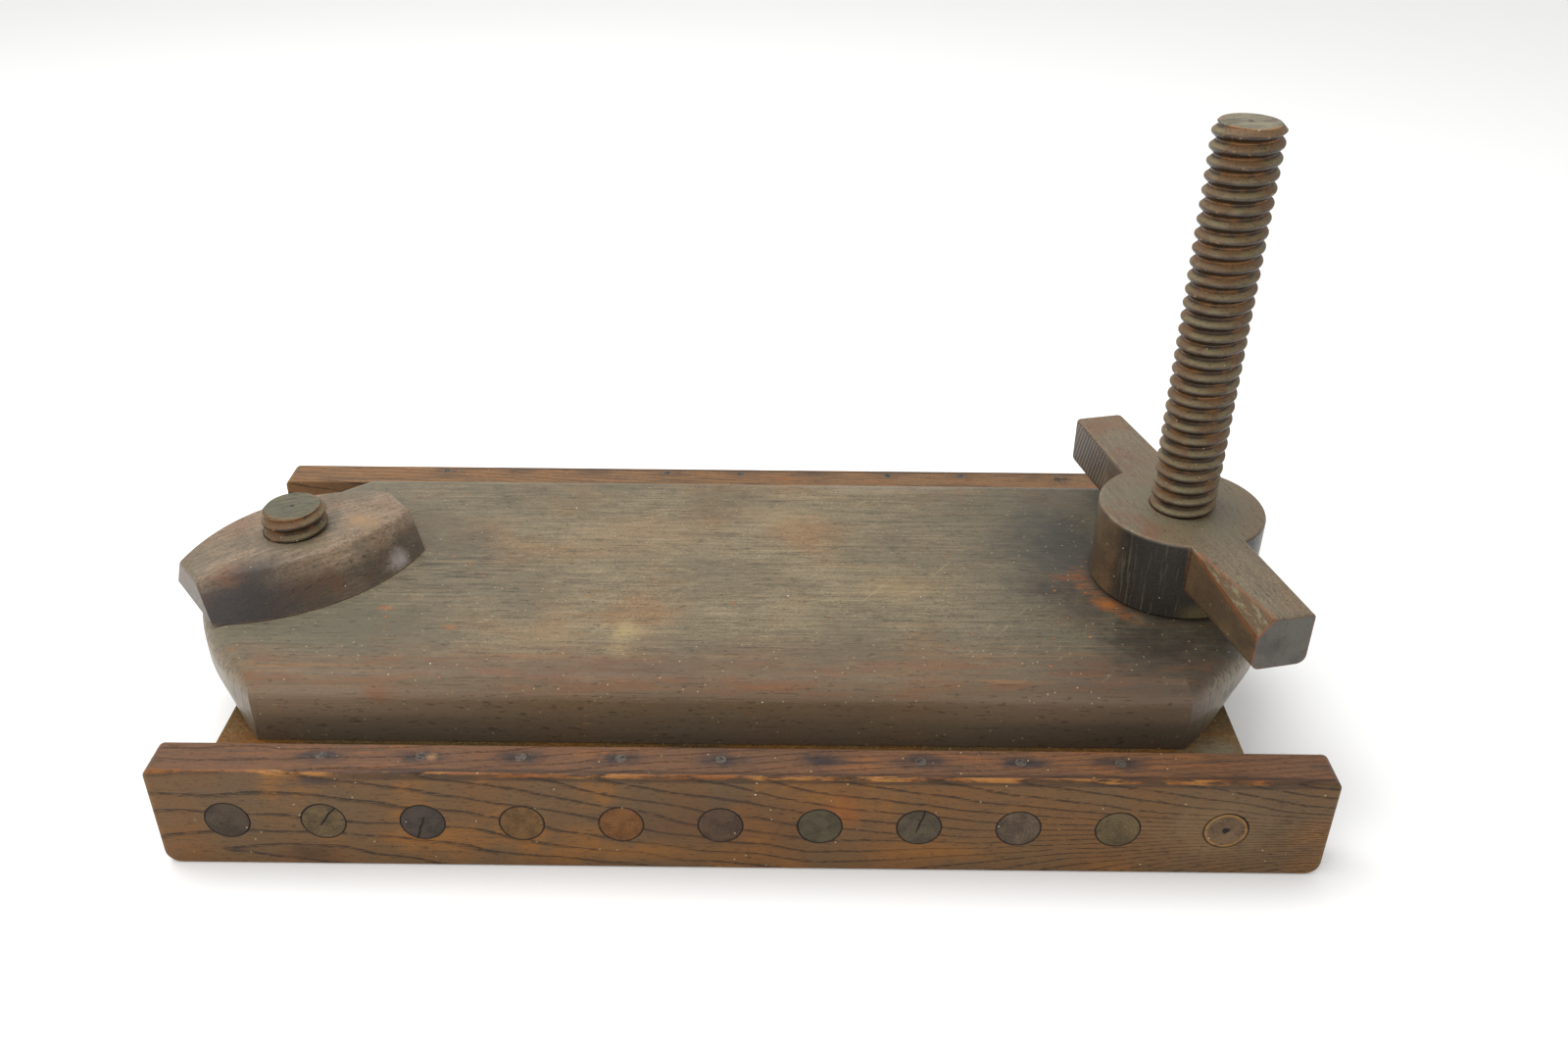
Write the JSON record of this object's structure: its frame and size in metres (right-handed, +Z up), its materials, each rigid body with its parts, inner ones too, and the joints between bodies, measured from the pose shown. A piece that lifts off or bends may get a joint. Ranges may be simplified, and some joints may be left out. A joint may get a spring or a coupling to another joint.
{
  "type": "bookbinding press",
  "caption": "Wooden screw press: a board driven down on to a railed bed by two wooden nuts on fixed wooden screws.",
  "frame": {"origin": "centre of the bed's underside, which is flush with the undersides of both rails", "axes": "+X along the rails with the wing nut at the positive end, +Y from the front rail to the rear rail, +Z up along the screws"},
  "size_m": [0.6369, 0.3186, 0.3485],
  "materials": {
    "rail_oak": "old oiled oak, worn orange along its edges",
    "bed_wood": "olive-brown, dusty",
    "platen_wood": "weathered grey-brown with a darker satin edge",
    "peg_wood": "dull end grain",
    "screw_wood": "dark polished crests over dusty flanks",
    "left_nut_wood": "dark reddish brown, soft edges",
    "wing_nut_wood": "grey-brown satin, worn red along its edges",
    "nail_iron": "dull dark iron",
    "wood_screw_iron": "browned iron"
  },
  "bodies": {
    "base": {"front_rail": "rail_oak", "rear_rail": "rail_oak", "bed_board": "bed_wood", "front_peg_02": "peg_wood", "front_peg_03": "peg_wood", "front_peg_04": "peg_wood", "front_peg_05": "peg_wood", "front_peg_06": "peg_wood", "front_peg_07": "peg_wood", "front_peg_08": "peg_wood", "front_peg_09": "peg_wood", "front_peg_10": "peg_wood", "rear_peg_02": "peg_wood", "rear_peg_03": "peg_wood", "rear_peg_04": "peg_wood", "rear_peg_05": "peg_wood", "rear_peg_06": "peg_wood", "rear_peg_07": "peg_wood", "rear_peg_08": "peg_wood", "rear_peg_09": "peg_wood", "rear_peg_10": "peg_wood", "left_screw_pin": "peg_wood", "right_screw_pin": "peg_wood", "rear_left_end_peg": "peg_wood", "rear_right_end_peg": "peg_wood", "front_rail_nails": "nail_iron", "rear_rail_nails": "nail_iron", "rear_rail_wood_screw": "wood_screw_iron", "left_screw": "screw_wood", "right_screw": "screw_wood"},
    "platen": {"platen": "platen_wood"},
    "left_nut": {"left_nut": "left_nut_wood"},
    "right_nut": {"right_wing_nut": "wing_nut_wood"}
  },
  "joints": [
    {"name": "platen_lift", "type": "slide", "parent": "base", "child": "platen", "axis": [0, 0, 1], "range_m": [0, 0.03032]},
    {"name": "left_nut_turn", "type": "hinge", "parent": "platen", "child": "left_nut", "pos_m": [-0.2555, 0, 0.096], "axis": [0, 0, 1], "range_deg": [0, 1440]},
    {"name": "right_nut_turn", "type": "hinge", "parent": "platen", "child": "right_nut", "pos_m": [0.2555, 0, 0.107], "axis": [0, 0, 1], "range_deg": [0, 1440]}
  ],
  "couplings": [
    {"joint": "platen_lift", "follows": "right_nut_turn", "m_per_rad": 0.0012064},
    {"joint": "left_nut_turn", "follows": "right_nut_turn", "ratio": 1}
  ]
}
